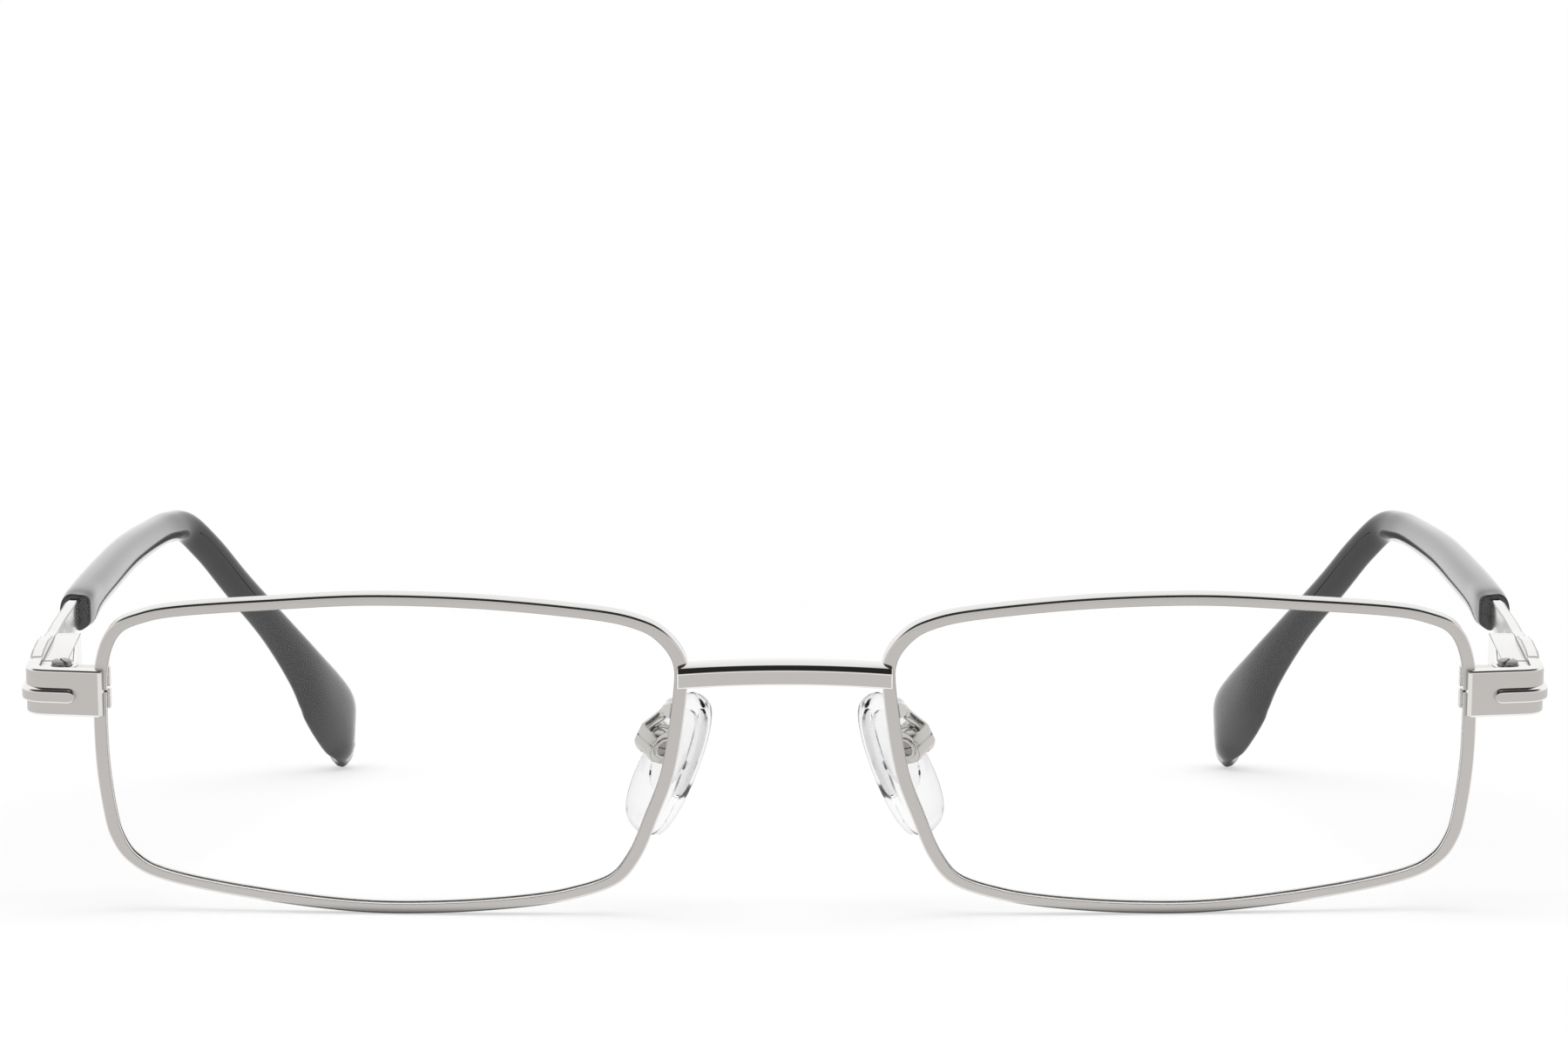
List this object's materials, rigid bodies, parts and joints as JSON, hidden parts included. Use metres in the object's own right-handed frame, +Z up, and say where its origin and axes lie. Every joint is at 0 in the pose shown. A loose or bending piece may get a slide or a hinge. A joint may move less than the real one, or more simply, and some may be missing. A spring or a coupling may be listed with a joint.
{
  "type": "eyeglasses",
  "caption": "Rectangular full-rim metal eyeglasses with sprung folding temples, long plastic temple sleeves, rocking nose pads and clear lenses.",
  "frame": {"origin": "on the floor, below the middle of the glasses' bounding box as they stand open on rims and tips", "axes": "+X towards the wearer's left temple, +Y from the front back along the temples, +Z up"},
  "size_m": [0.1444, 0.1337, 0.0325],
  "materials": {
    "front_metal": "warm silver plating, brushed faces with polished edges",
    "temple_metal": "warm silver plating, brushed",
    "screw_steel": "small turned steel parts",
    "sleeve_plastic": "deep gloss black",
    "lens_clear": "clear, coated",
    "pad_core": "clear hard plastic",
    "pad_soft": "clear soft silicone"
  },
  "bodies": {
    "front": {"rim_left": "front_metal", "rim_right": "front_metal", "end_piece_left": "front_metal", "end_piece_right": "front_metal", "closing_block_upper_left": "front_metal", "closing_block_upper_right": "front_metal", "closing_block_lower_left": "front_metal", "closing_block_lower_right": "front_metal", "hinge_ears_left": "front_metal", "hinge_ears_right": "front_metal", "pad_arm_left": "front_metal", "pad_arm_right": "front_metal", "pad_box_left": "front_metal", "pad_box_right": "front_metal", "bridge": "front_metal", "closing_screw_left": "screw_steel", "closing_screw_right": "screw_steel", "hinge_screw_left": "screw_steel", "hinge_screw_right": "screw_steel", "pad_screw_left": "screw_steel", "pad_screw_right": "screw_steel", "lens_left": "lens_clear", "lens_right": "lens_clear"},
    "tongue_left": {"hinge_tongue_left": "screw_steel", "slide_nut_left": "screw_steel"},
    "temple_left": {"temple_arm_left": "temple_metal", "temple_sleeve_left": "sleeve_plastic", "spring_housing_left": "temple_metal", "hinge_spring_left": "screw_steel"},
    "pad_left": {"pad_insert_left": "pad_core", "nose_pad_left": "pad_soft"},
    "tongue_right": {"hinge_tongue_right": "screw_steel", "slide_nut_right": "screw_steel"},
    "temple_right": {"temple_arm_right": "temple_metal", "temple_sleeve_right": "sleeve_plastic", "spring_housing_right": "temple_metal", "hinge_spring_right": "screw_steel"},
    "pad_right": {"pad_insert_right": "pad_core", "nose_pad_right": "pad_soft"}
  },
  "joints": [
    {"name": "fold_left", "type": "hinge", "parent": "front", "child": "tongue_left", "pos_m": [0.0663, -0.05759, 0.02075], "axis": [0, -0.1603, 0.9871], "range_deg": [0, 85]},
    {"name": "spring_left", "type": "slide", "parent": "tongue_left", "child": "temple_left", "axis": [0.0523, 0.9857, 0.1601], "range_m": [0, 0.0012], "stiffness_N_per_m": 800, "springref_m": -0.001, "deforming": ["hinge_spring_left"]},
    {"name": "pad_rock_left", "type": "hinge", "parent": "front", "child": "pad_left", "pos_m": [0.01184, -0.05843, 0.0156], "axis": [0.5198, 0.7697, 0.3706], "range_deg": [-6, 6]},
    {"name": "fold_right", "type": "hinge", "parent": "front", "child": "tongue_right", "pos_m": [-0.0663, -0.05759, 0.02075], "axis": [0, 0.1603, -0.9871], "range_deg": [0, 76]},
    {"name": "spring_right", "type": "slide", "parent": "tongue_right", "child": "temple_right", "axis": [-0.0523, 0.9857, 0.1601], "range_m": [0, 0.0012], "stiffness_N_per_m": 800, "springref_m": -0.001, "deforming": ["hinge_spring_right"]},
    {"name": "pad_rock_right", "type": "hinge", "parent": "front", "child": "pad_right", "pos_m": [-0.01184, -0.05843, 0.0156], "axis": [0.5198, -0.7697, -0.3706], "range_deg": [-6, 6]}
  ]
}
